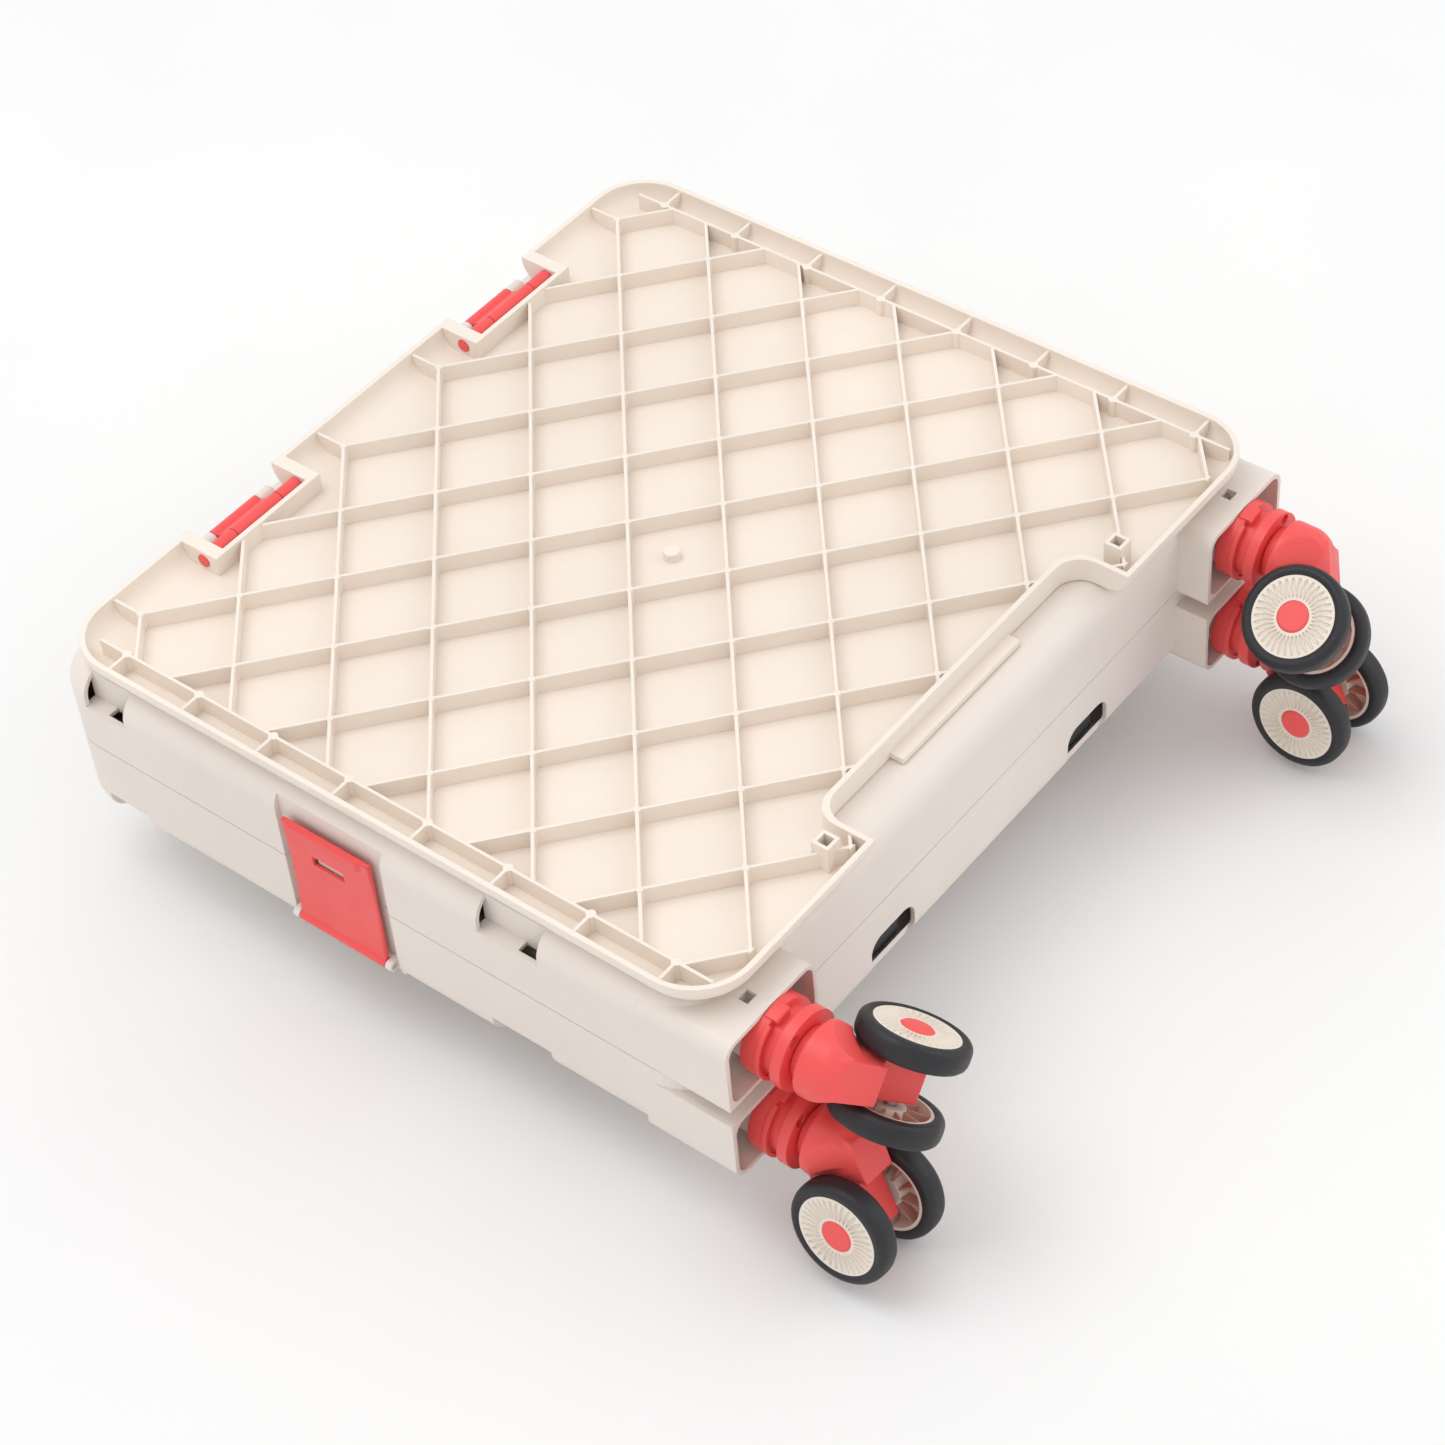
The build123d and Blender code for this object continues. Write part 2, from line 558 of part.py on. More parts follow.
def caster_collar(z, socket_z):
    """The ring that clips a caster into its socket, with a groove round it."""
    inside = rod((COLLAR_X, CASTER_Y, z), "x", SOCKET_END_X - COLLAR_X + BODY_GAP, COLLAR_R)
    inside &= socket_mouth(socket_z, BODY_GAP)
    outside_x = SOCKET_END_X + BODY_GAP
    collar = inside + rod((outside_x, CASTER_Y, z), "x", COLLAR_END_X - outside_x, COLLAR_R)
    groove_width = GROOVE_X[1] - GROOVE_X[0]
    groove_start = (GROOVE_X[0], CASTER_Y, z)
    collar -= rod(groove_start, "x", groove_width, COLLAR_R + 1) - rod(groove_start, "x", groove_width, GROOVE_R)
    for angle in EYELET_ANGLES:
        y = CASTER_Y + GROOVE_R * cos(radians(angle))
        start = (COLLAR_END_X - 7, y, z + GROOVE_R * sin(radians(angle)))
        collar -= rod(start, "x", 8, EYELET_R)
    return collar - rod((COLLAR_X - 1, CASTER_Y, z), "x", 40, STEM_R + FIT)


def caster_stem(z):
    start = SOCKET_BACK_X + 2
    return rod((start, CASTER_Y, z), "x", FORK_X + STEM_DEPTH - start, STEM_R)


def at_caster(shape, caster):
    """Place a part drawn about the X axis, trailing along +Y, at its caster."""
    side, z, trail_angle = CASTERS[caster]
    return Pos(0, side * CASTER_Y, z) * Rot(trail_angle, 0, 0) * shape


def caster_fork():
    dome = rod((FORK_X, 0, 0), "x", 26, FORK_R)
    dome = fillet(dome.faces().sort_by(Axis.X)[-1].edges(), 16)
    arm_line = Polyline((FORK_X, -17, 0), (FORK_X + 22, -15, 0), (AXLE_X + 10, 14, 0), (AXLE_X + 12, TRAIL + 11, 0),
                        (AXLE_X - 8, TRAIL + 13, 0), (FORK_X, 19, 0), close=True)
    arm = extrude(make_face(arm_line), amount=ARM_HALF, both=True)
    neck = rod((COLLAR_END_X + BODY_GAP, 0, 0), "x", FORK_X - COLLAR_END_X, NECK_R)
    fork = dome + arm + neck
    for side in (-1, 1):
        clear = Pos(AXLE_X, TRAIL, side * (WHEEL_INNER + WHEEL_W / 2 + 5)) * Cylinder(WHEEL_R + 1.2, WHEEL_W + 13)
        fork -= clear
    fork -= Pos(AXLE_X, TRAIL, 0) * Cylinder(AXLE_R + FIT, 4 * ARM_HALF)
    start = COLLAR_END_X - 1
    return fork - rod((start, 0, 0), "x", FORK_X + STEM_DEPTH + BODY_GAP - start, STEM_R + FIT)


def caster_axle():
    return Pos(AXLE_X, TRAIL, 0) * Cylinder(AXLE_R, 2 * (WHEEL_INNER + WHEEL_W - 3))


def wheel_shape(profile, side):
    """Revolve an (outward, radius) profile about the axle, on one side of the fork."""
    points = [(radius, side * outward, 0) for outward, radius in profile]
    face = make_face(Polyline(*points, close=True))
    solid = revolve(face, axis=Axis.Y)
    return Pos(AXLE_X, TRAIL, 0) * Rot(90, 0, 0) * solid


def tyre(side):
    a, b = WHEEL_INNER, WHEEL_INNER + WHEEL_W
    profile = ((a, COVER_R), (a, WHEEL_R - 4), (a + 1.5, WHEEL_R - 1.2), (a + 4, WHEEL_R),
               (b - 4, WHEEL_R), (b - 1.5, WHEEL_R - 1.2), (b, WHEEL_R - 4), (b, COVER_R))
    return wheel_shape(profile, side)


def rim(side):
    a, b = WHEEL_INNER, WHEEL_INNER + WHEEL_W
    bore = AXLE_R + FIT
    profile = ((a + 1, bore), (a + 1, 8), (a + 8, 9), (a + 8, COVER_R - 2), (a + 0.5, COVER_R - 2),
               (a + 0.5, COVER_R), (b - 0.4, COVER_R), (b - 0.4, CAP_R), (b - 2.6, CAP_R), (b - 2.6, bore))
    return wheel_shape(profile, side)


def wheel_cap(side):
    b = WHEEL_INNER + WHEEL_W
    profile = ((b - 2.6, 0), (b - 2.6, CAP_R), (b - 0.6, CAP_R), (b + 0.3, CAP_R - 1), (b + 0.3, 0))
    return wheel_shape(profile, side)


def side_rods(z):
    rod_part = rod((LEAF_X0 - 1, SIDE_PIN_Y, z), "x", LEAF_X1 - LEAF_X0 + 2, ROD_R)
    return Compound([rod_part, mirror_y(rod_part)])


def paired(shape):
    return Compound([shape, mirror_y(shape)])


def caster_nodes():
    nodes = {}
    for name in CASTERS:
        nodes[f"{name}_fork"] = at_caster(caster_fork(), name)
        nodes[f"{name}_axle"] = at_caster(caster_axle(), name)
        for letter, side in (("a", -1), ("b", 1)):
            nodes[f"{name}_tyre_{letter}"] = at_caster(tyre(side), name)
            nodes[f"{name}_rim_{letter}"] = at_caster(rim(side), name)
            nodes[f"{name}_cap_{letter}"] = at_caster(wheel_cap(side), name)
    return nodes


def all_nodes():
    mid_rod = rod((LEAF_X0 + 1, MID_PIN_Y, MID_PIN_Z), "x", LEAF_X1 - LEAF_X0 - 2, ROD_R)
    nodes = {
        "rear_shell": lower_shell(),
        "front_shell": upper_shell(),
        "lid": lid(),
        "lid_hinge_links": paired(link()),
        "lid_hinge_pins": Compound([lid_pin(), Pos(0, -2 * HINGE_Y, 0) * lid_pin()]),
        "shell_hinge_pins": paired(shell_hinge_pin()),
        "latch": latch(),
        "latch_pin": latch_pin(),
        "rear_leaf_right": leaf(True),
        "rear_leaf_left": mirror_y(leaf(True)),
        "front_leaf_right": leaf(False),
        "front_leaf_left": mirror_y(leaf(False)),
        "middle_rod_right": mid_rod,
        "middle_rod_left": mirror_y(mid_rod),
        "rear_side_rods": side_rods(SIDE_PIN_Z),
        "front_side_rods": side_rods(UPPER_PIN_Z),
        "floor_panel": floor_panel(),
        "handle_outer_tubes": paired(tube(0)),
        "handle_middle_tubes": paired(tube(1)),
        "handle_inner_tubes": paired(tube(2)),
        "handle_tube_plugs": paired(tube_plug()),
        "handle_grip": handle_grip(),
        "release_button": release_button(),
        "rear_caster_collars": paired(caster_collar(LOWER_CASTER_Z, LOWER_SOCKET_Z)),
        "front_caster_collars": paired(caster_collar(UPPER_CASTER_Z, UPPER_SOCKET_Z)),
        "rear_caster_stems": paired(caster_stem(LOWER_CASTER_Z)),
        "front_caster_stems": paired(caster_stem(UPPER_CASTER_Z)),
    }
    nodes.update(caster_nodes())
    return nodes


os.makedirs("parts", exist_ok=True)
for node_name, solid in all_nodes().items():
    export_step(solid, f"parts/{node_name}.step")
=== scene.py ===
import bpy
import bmesh
import json
from math import cos, sin, pi, radians, exp
from mathutils import Matrix, Vector


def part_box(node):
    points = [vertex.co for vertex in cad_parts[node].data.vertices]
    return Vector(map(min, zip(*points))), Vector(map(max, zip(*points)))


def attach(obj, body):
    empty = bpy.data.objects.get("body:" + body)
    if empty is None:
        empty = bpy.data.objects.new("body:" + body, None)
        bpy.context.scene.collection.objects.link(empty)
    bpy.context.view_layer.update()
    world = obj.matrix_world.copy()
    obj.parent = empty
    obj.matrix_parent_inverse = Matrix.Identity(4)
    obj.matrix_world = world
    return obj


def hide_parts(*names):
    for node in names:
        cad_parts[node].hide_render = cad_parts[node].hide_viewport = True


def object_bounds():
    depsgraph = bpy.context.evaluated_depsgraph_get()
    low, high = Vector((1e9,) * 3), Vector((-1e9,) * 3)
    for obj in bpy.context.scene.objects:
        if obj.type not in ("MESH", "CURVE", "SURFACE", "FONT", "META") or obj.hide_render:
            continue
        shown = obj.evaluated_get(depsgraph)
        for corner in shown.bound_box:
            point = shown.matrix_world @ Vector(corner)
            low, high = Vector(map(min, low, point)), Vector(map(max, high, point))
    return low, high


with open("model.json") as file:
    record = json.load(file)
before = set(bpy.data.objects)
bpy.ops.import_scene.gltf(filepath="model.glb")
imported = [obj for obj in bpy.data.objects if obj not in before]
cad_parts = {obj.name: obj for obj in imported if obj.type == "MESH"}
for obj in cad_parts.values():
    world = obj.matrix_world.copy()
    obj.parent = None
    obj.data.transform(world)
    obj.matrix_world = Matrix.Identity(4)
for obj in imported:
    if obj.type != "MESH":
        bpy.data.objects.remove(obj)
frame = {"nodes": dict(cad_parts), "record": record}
cad_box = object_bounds()

# The folding trolley crate, folded flat. Metres, in the row frame:
# +X runs from the lid hinge to the casters, +Z up through the folded pack.

MM = 0.001

# Camera: where it looks, and how it is turned
CAMERA_TARGET = Vector((0.0778, -0.0467, 0.060))
CAMERA_DISTANCE = 1.803
CAMERA_AZIMUTH = 41.85
CAMERA_ELEVATION = 45.86
CAMERA_ROLL = -5.44
CAMERA_LENS = 87.7

# Colours as linear light
SHELL_CREAM = (0.80, 0.725, 0.665)
LID_CREAM = (0.86, 0.775, 0.69)
CORAL = (0.87, 0.092, 0.088)
COVER_CREAM = (0.82, 0.74, 0.65)
TYRE_BLACK = (0.010, 0.010, 0.0125)
GRIP_BLACK = (0.02, 0.02, 0.021)
STEEL = (0.56, 0.56, 0.57)
ALUMINIUM = (0.70, 0.70, 0.71)
HUB_PINK = (0.55, 0.27, 0.22)
DUST_GREY = (0.06, 0.058, 0.056)
# Painted highlight colour for the tyres' sharp edges
EDGE_HIGHLIGHT_GREY = (0.035, 0.035, 0.037)
FLOOR_WHITES = ((0.86, 0.86, 0.86), (0.89, 0.89, 0.885))

# Lengths from here on are in mm, in the row frame, unless a comment says otherwise

# Casters: which side each is on, the height of its swivel axis, and the body that holds its collar
CASTER_Y = 203.0
CASTERS = {
    "front_left": ((-1, 76.5), "front_shell"),
    "front_right": ((1, 76.5), "front_shell"),
    "rear_left": ((-1, 17.5), "rear_shell"),
    "rear_right": ((1, 17.5), "rear_shell"),
}
GROOVE_X = 237.5             # where the collar's groove starts
TAB_ANGLES = (84.0, 110.0)   # degrees round the collar, from +Y towards +Z
LIP_ANGLES = (118.0, 262.0)

# Fork arm: the axle (along the swivel axis, trailing), and the slanting arm round it
AXLE = (286.0, 29.5)
ARM_SLANT = (0.54, 0.8417)   # direction of the arm, of length 1
ARM_WIDTH = 16.0
ARM_PAST_AXLE = 9.0
CUT_DEPTH = 26.0             # how far the cutters reach past the housing
HOUSING_VOXEL = 0.6
HOUSING_SMOOTHING = 5

# Wheels
WHEEL_HALF = 6.5             # half of a wheel's width
TYRE_R = 28.4
COVER_R = 22.0
CAP_R = 8.6
AXLE_HOLE_R = 3.2
PETALS = 34
PETAL_EDGE = 0.22            # width of the step between a petal's outline and its hollow
PETAL_RISE = 0.35
PETAL_DEPTH = 0.9
HUB_RIBS = 10
HUB_RIB_HALF = 0.6

# Latch plate
LATCH_X = (-46.0, 12.0)
LATCH_Z = (16.0, 86.0)
LATCH_BACK_Y = -239.0
LATCH_FACE_Y = -241.9
LATCH_LEDGE_Y = -243.2
LATCH_BOW = 1.3
LATCH_PIN = (-240.6, 14.0)   # Y and Z of the pin
LATCH_BARREL_R = (1.55, 3.0)
WINDOW_X = (-29.0, -8.0)
WINDOW_Z = (62.0, 68.5)
LEDGE_Z = 80.0
GRID_STEP = 1.5

# Lid ribs
RIB_FIRST_X = -182.0
RIB_CELL = (66.0, 77.8)      # diagonals of one rib cell
BOSS_Z = (105.0, 115.7)
BOSS_R = 2.1
BOSS_CHAMFER = (0.3, 0.4)    # its height and width
BOSS_SIDES = 16

WELD = 0.00001               # metres


# Materials

def new_material(name):
    material = bpy.data.materials.new(name)
    material.use_nodes = True
    nodes = material.node_tree.nodes
    shader = nodes["Principled BSDF"]
    return material, nodes, material.node_tree.links, shader


def noise(nodes, links, coords, scale, detail=3.0):
    node = nodes.new("ShaderNodeTexNoise")
    node.inputs["Scale"].default_value = scale
    node.inputs["Detail"].default_value = detail
    links.new(coords, node.inputs["Vector"])
    return node.outputs["Fac"]


def spread(nodes, links, value, low, high, source=(0.3, 0.7)):
    """Map a noise value onto a range."""
    node = nodes.new("ShaderNodeMapRange")
    node.inputs["From Min"].default_value, node.inputs["From Max"].default_value = source
    node.inputs["To Min"].default_value, node.inputs["To Max"].default_value = low, high
    links.new(value, node.inputs["Value"])
    return node.outputs["Result"]


def mix(nodes, links, factor, first, second):
    """Blend two colours, each either plain or the output of another node."""
    node = nodes.new("ShaderNodeMix")
    node.data_type = "RGBA"
    links.new(factor, node.inputs["Factor"])
    for socket, colour in ((node.inputs[6], first), (node.inputs[7], second)):
        if isinstance(colour, tuple):
            socket.default_value = (*colour, 1.0)
        else:
            links.new(colour, socket)
    return node.outputs[2]


def scaled(colour, factor):
    return tuple(min(1.0, channel * factor) for channel in colour)


def edge_mask(nodes, links, radius):
    """The rounded-edge normal, and 1 on sharp edges fading to 0 on flat faces."""
    bevel = nodes.new("ShaderNodeBevel")
    bevel.samples = 4
    bevel.inputs["Radius"].default_value = radius
    geometry = nodes.new("ShaderNodeNewGeometry")
    dot = nodes.new("ShaderNodeVectorMath")
    dot.operation = "DOT_PRODUCT"
    links.new(bevel.outputs["Normal"], dot.inputs[0])
    links.new(geometry.outputs["Normal"], dot.inputs[1])
    return bevel.outputs["Normal"], spread(nodes, links, dot.outputs["Value"], 1.0, 0.0, (0.72, 0.99))


def bump(nodes, links, height, normal, strength, distance):
    node = nodes.new("ShaderNodeBump")
    node.inputs["Strength"].default_value = strength
    node.inputs["Distance"].default_value = distance
    links.new(height, node.inputs["Height"])
    links.new(normal, node.inputs["Normal"])
    return node.outputs["Normal"]


def moulded_plastic(name, colour, roughness, edge=0.6, translucent=0.0, grain=1.0):
    """Injection-moulded plastic: flow marks, spark-eroded grain, a painted highlight lightening the sharp
    edges, and faint scuffs.
    """
    material, nodes, links, shader = new_material(name)
    coords = nodes.new("ShaderNodeTexCoord").outputs["Object"]
    flow = noise(nodes, links, coords, 7.0, 2.0)
    cloud = noise(nodes, links, coords, 45.0, 4.0)
    fine = noise(nodes, links, coords, 1600.0, 2.0)
    normal, edges = edge_mask(nodes, links, edge * MM)
    streaks = spread(nodes, links, flow, 0.0, 1.0)
    scuffs = spread(nodes, links, cloud, 0.0, 0.35)
    # Painted highlight: the sharp edges are lightened in the base colour
    edge_highlight = spread(nodes, links, edges, 0.0, 0.5, (0.0, 1.0))
    base = mix(nodes, links, streaks, scaled(colour, 0.965), scaled(colour, 1.03))
    base = mix(nodes, links, scuffs, base, scaled(colour, 0.95))
    base = mix(nodes, links, edge_highlight, base, scaled(colour, 1.10))
    links.new(base, shader.inputs["Base Color"])
    links.new(spread(nodes, links, cloud, roughness - 0.06, roughness + 0.08), shader.inputs["Roughness"])
    waves = bump(nodes, links, cloud, normal, 0.12, 0.4 * MM)
    links.new(bump(nodes, links, fine, waves, 0.22 * grain, 0.12 * MM), shader.inputs["Normal"])
    shader.inputs["IOR"].default_value = 1.46
    if translucent:
        shader.inputs["Subsurface Weight"].default_value = translucent
        shader.inputs["Subsurface Radius"].default_value = (1.0, 0.62, 0.42)
        shader.inputs["Subsurface Scale"].default_value = 2.2 * MM
    return material


def tyre_rubber():
    """Soft rubber, dull on the tread, with moulding haze, dust and a painted highlight on its sharp edges."""
    material, nodes, links, shader = new_material("tyre_rubber")
    coords = nodes.new("ShaderNodeTexCoord").outputs["Object"]
    haze = noise(nodes, links, coords, 60.0, 5.0)
    dust = noise(nodes, links, coords, 500.0, 3.0)
    normal, edges = edge_mask(nodes, links, 0.5 * MM)
    specks = spread(nodes, links, dust, 0.0, 0.5, (0.62, 0.8))
    # Painted highlight: the sharp edges are lightened towards a paler grey
    edge_highlight = spread(nodes, links, edges, 0.0, 0.4, (0.0, 1.0))
    base = mix(nodes, links, spread(nodes, links, haze, 0.0, 1.0), TYRE_BLACK, scaled(TYRE_BLACK, 1.9))
    base = mix(nodes, links, specks, base, DUST_GREY)
    base = mix(nodes, links, edge_highlight, base, EDGE_HIGHLIGHT_GREY)
    links.new(base, shader.inputs["Base Color"])
    links.new(spread(nodes, links, haze, 0.42, 0.62), shader.inputs["Roughness"])
    links.new(bump(nodes, links, dust, normal, 0.2, 0.15 * MM), shader.inputs["Normal"])
    return material


def drawn_metal(name, colour, roughness, stretch):
    """Metal with fine lines drawn out along X, and a painted highlight lightening its sharp edges."""
    material, nodes, links, shader = new_material(name)
    coords = nodes.new("ShaderNodeTexCoord").outputs["Object"]
    mapping = nodes.new("ShaderNodeMapping")
    mapping.inputs["Scale"].default_value = stretch
    links.new(coords, mapping.inputs["Vector"])
    lines = noise(nodes, links, mapping.outputs["Vector"], 900.0, 3.0)
    patches = noise(nodes, links, coords, 40.0, 3.0)
    normal, edges = edge_mask(nodes, links, 0.3 * MM)
    clouding = spread(nodes, links, patches, 0.0, 1.0)
    # Painted highlight: the sharp edges are brightened in the base colour
    edge_highlight = spread(nodes, links, edges, 0.0, 0.6, (0.0, 1.0))
    base = mix(nodes, links, clouding, scaled(colour, 0.88), scaled(colour, 1.06))
    base = mix(nodes, links, edge_highlight, base, scaled(colour, 1.3))
    links.new(base, shader.inputs["Base Color"])
    shader.inputs["Metallic"].default_value = 1.0
    links.new(spread(nodes, links, lines, roughness - 0.07, roughness + 0.12), shader.inputs["Roughness"])
    links.new(bump(nodes, links, lines, normal, 0.15, 0.05 * MM), shader.inputs["Normal"])
    return material


def floor_paint():
    """Pale studio floor with the faintest unevenness."""
    material, nodes, links, shader = new_material("studio_floor")
    coords = nodes.new("ShaderNodeTexCoord").outputs["Object"]
    cloud = noise(nodes, links, coords, 3.0, 3.0)
    base = mix(nodes, links, spread(nodes, links, cloud, 0.0, 1.0), *FLOOR_WHITES)
    links.new(base, shader.inputs["Base Color"])
    shader.inputs["Roughness"].default_value = 0.8
    return material


MATERIALS = {
    "pink_side": moulded_plastic("shell_plastic", SHELL_CREAM, 0.46, 0.9, 0.12),
    "cream_lid": moulded_plastic("lid_plastic", LID_CREAM, 0.44, 0.5, 0.12),
    "coral": moulded_plastic("coral_plastic", CORAL, 0.38, 0.7, 0.0, 0.8),
    "cream_cover": moulded_plastic("cover_plastic", COVER_CREAM, 0.38, 0.3, 0.0, 0.5),
    "tyre": tyre_rubber(),
    "black": moulded_plastic("black_plastic", GRIP_BLACK, 0.5, 0.6, 0.0, 1.4),
    "steel": drawn_metal("drawn_steel", STEEL, 0.32, (0.05, 1.0, 1.0)),
    "tube": drawn_metal("tube_aluminium", ALUMINIUM, 0.34, (0.03, 1.0, 1.0)),
}
HUB_MATERIAL = moulded_plastic("hub_plastic", HUB_PINK, 0.45, 0.3)


def paint_cad_nodes():
    """Give every carried-over CAD node its slot's material."""
    for entry in frame["record"]["subparts"]:
        node = frame["nodes"][entry["node"]]
        node.data.materials.clear()
        node.data.materials.append(MATERIALS[entry["material_slot"]])


# Mesh building

def add_object(name, vertices, faces, material, smooth=True):
    """A welded object from vertices in mm."""
    mesh = bpy.data.meshes.new(name)
    mesh.from_pydata([tuple(Vector(v) * MM) for v in vertices], [], faces)
    mesh.validate()
    work = bmesh.new()
    work.from_mesh(mesh)
    bmesh.ops.remove_doubles(work, verts=work.verts, dist=WELD)
    bmesh.ops.recalc_face_normals(work, faces=work.faces)
    work.to_mesh(mesh)
    work.free()
    mesh.materials.append(material)
    piece = bpy.data.objects.new(name, mesh)
    bpy.context.scene.collection.objects.link(piece)
    if smooth:
        mesh.polygons.foreach_set("use_smooth", [True] * len(mesh.polygons))
    return piece


def sharpen(piece, angle):
    """Keep edges sharper than an angle crisp under smooth shading."""
    piece.data.set_sharp_from_angle(angle=radians(angle))


def polar_grid(point, rings, spokes):
    """A closed band of quads; point(ring, spoke) gives each vertex in mm."""
    vertices = [point(i, j) for i in range(rings) for j in range(spokes)]
    faces = []
    for i in range(rings - 1):
        for j in range(spokes):
            k = (j + 1) % spokes
            faces.append((i * spokes + j, i * spokes + k, (i + 1) * spokes + k, (i + 1) * spokes + j))
    return vertices, faces


def revolved(section, spokes):
    """(radius, height) pairs turned about the Z axis."""
    def point(i, j):
        turn = 2 * pi * j / spokes
        radius, height = section[i]
        return (radius * cos(turn), radius * sin(turn), height)

    return polar_grid(point, len(section), spokes)


def combined(parts):
    """Several (vertices, faces) pairs as one."""
    vertices, faces = [], []
    for more, more_faces in parts:
        shift = len(vertices)
        vertices += more
        faces += [tuple(index + shift for index in face) for face in more_faces]
    return vertices, faces


def middle_of(node):
    """Middle of a CAD node's box, in metres."""
    low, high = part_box(node)
    return (Vector(low) + Vector(high)) / 2


# Caster pieces

def wheel_frame(caster, letter):
    """Centre of a wheel and its outward axle direction, from the CAD's tyres."""
    centre = middle_of(f"{caster}_tyre_{letter}")
    other = middle_of(f"{caster}_tyre_{'b' if letter == 'a' else 'a'}")
    return centre, (centre - other).normalized()


def wheel_matrix(caster, letter):
    """Row frame from a wheel's own frame, whose +Z points outward along the axle."""
    centre, outward = wheel_frame(caster, letter)
    across = Vector((1, 0, 0))
    side = outward.cross(across)
    rotation = Matrix((across, side, outward)).transposed()
    return Matrix.Translation(centre) @ rotation.to_4x4()


def petal_height(radius, turn):
    """Relief of the sunburst cover: hollow petals between raised outlines, in mm."""
    along = (radius - CAP_R - 1.6) / (COVER_R - CAP_R - 3.0)
    if along <= 0 or along >= 1:
        return 0.0
    step = 2 * pi / PETALS
    offset = abs((turn + step / 2) % step - step / 2) * radius
    swell = sin(pi * along ** 0.8) ** 0.6
    half_width = 0.36 * step * radius * swell
    inside = max(0.0, min(1.0, (half_width - offset) / PETAL_EDGE))
    outline = exp(-((offset - half_width) / PETAL_EDGE) ** 2)
    return PETAL_RISE * outline - PETAL_DEPTH * inside


def cover_radii():
    """Radii of the cover's rings, from the cap's edge to the tyre."""
    count = 30
    return [CAP_R + (COVER_R - CAP_R) * i / (count - 1) for i in range(count)]


def wheel_cover(caster, letter):
    """Cream sunburst cover, with the wheel's dished hub behind it and a seat for the cap."""
    radii = cover_radii()
    spokes = PETALS * 10
    top = WHEEL_HALF - 0.5

    def face_point(i, j):
        turn = 2 * pi * j / spokes
        radius = radii[i]
        return (radius * cos(turn), radius * sin(turn), top + petal_height(radius, turn))

    face = polar_grid(face_point, len(radii), spokes)
    inner = -WHEEL_HALF
    hub = ((COVER_R, top), (COVER_R, inner + 0.6), (COVER_R - 1.8, inner + 0.6), (COVER_R - 2.4, -1.0),
           (COVER_R - 4.0, 1.5), (9.5, 1.5), (8.4, inner + 1.2), (3.4, inner + 1.2))
    cap_seat = ((CAP_R, top), (CAP_R, top - 2.1), (AXLE_HOLE_R, top - 2.1))
    vertices, faces = combined([face, revolved(hub, spokes), revolved(cap_seat, spokes)])
    piece = add_object(f"{caster}_cover_{letter}", vertices, faces, MATERIALS["cream_cover"])
    sharpen(piece, 50)
    piece.data.transform(wheel_matrix(caster, letter))
    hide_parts(f"{caster}_rim_{letter}")
    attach(piece, f"{caster}_wheel_{letter}")


def hub_ribs(caster, letter):
    """Small stiffening ribs round the hub, on the wheel's inner side."""
    vertices, faces = [], []
    for k in range(HUB_RIBS):
        turn = 2 * pi * k / HUB_RIBS
        out = Vector((cos(turn), sin(turn), 0))
        side = Vector((-sin(turn), cos(turn), 0)) * HUB_RIB_HALF
        start = len(vertices)
        for radius, height in ((8.0, -WHEEL_HALF + 1.6), (19.4, -WHEEL_HALF + 2.6)):
            for z in (height, 2.0):
                for sign in (-1, 1):
                    vertices.append(out * radius + side * sign + Vector((0, 0, z)))
        faces += [tuple(start + i for i in quad) for quad in
                  ((0, 1, 5, 4), (2, 6, 7, 3), (0, 4, 6, 2), (1, 3, 7, 5), (0, 2, 3, 1), (4, 5, 7, 6))]
    piece = add_object(f"{caster}_hub_ribs_{letter}", vertices, faces, HUB_MATERIAL, smooth=False)
    piece.data.transform(wheel_matrix(caster, letter))
    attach(piece, f"{caster}_wheel_{letter}")


def tyre_section():
    """A tyre's rounded section as (radius, height) pairs, with a fine sidewall step."""
    return ((COVER_R, -6.2), (COVER_R + 0.8, -6.45), (25.0, -6.45), (26.6, -5.8), (27.7, -4.6), (28.25, -3.0),
            (TYRE_R, -1.2), (TYRE_R, 1.2), (28.25, 3.0), (27.7, 4.6), (26.6, 5.8), (25.0, 6.45), (24.2, 6.45),
            (23.9, 6.2), (COVER_R + 0.3, 6.2), (COVER_R, 5.8))


def smooth_tyre(caster, letter):
    """The round-shouldered rubber tyre."""
    vertices, faces = revolved(tyre_section(), 96)
    piece = add_object(f"{caster}_rubber_{letter}", vertices, faces, MATERIALS["tyre"])
    piece.data.transform(wheel_matrix(caster, letter))
    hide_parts(f"{caster}_tyre_{letter}")
    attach(piece, f"{caster}_wheel_{letter}")


def fork_place(caster):
    """Row-frame point, in mm, from a fork's own (along the swivel axis, trailing, across)."""
    (side, axis_z), _ = CASTERS[caster]
    axis = Vector((0, side * CASTER_Y, axis_z))
    trail = middle_of(f"{caster}_axle") / MM - axis
    trail.x = 0
    trail.normalize()
    across = Vector((1, 0, 0)).cross(trail)

    def place(along, trailing, sideways):
        return Vector((along, 0, 0)) + axis + trail * trailing + across * sideways

    return place


def prism(outline, place):
    """A closed prism over an outline; place(u, v, end) gives the corners at its two ends."""
    count = len(outline)
    vertices = [place(u, v, end) for end in (0, 1) for u, v in outline]
    faces = [tuple(range(count)), tuple(count + k for k in reversed(range(count)))]
    faces += [(k, count + k, count + (k + 1) % count, (k + 1) % count) for k in range(count)]
    return vertices, faces


def arm_point(along, off):
    """A point of the arm's plane: along its slanting centre line from the axle, and off to a side."""
    slant_x, slant_y = ARM_SLANT
    return (AXLE[0] + slant_x * along + slant_y * off, AXLE[1] + slant_y * along - slant_x * off)


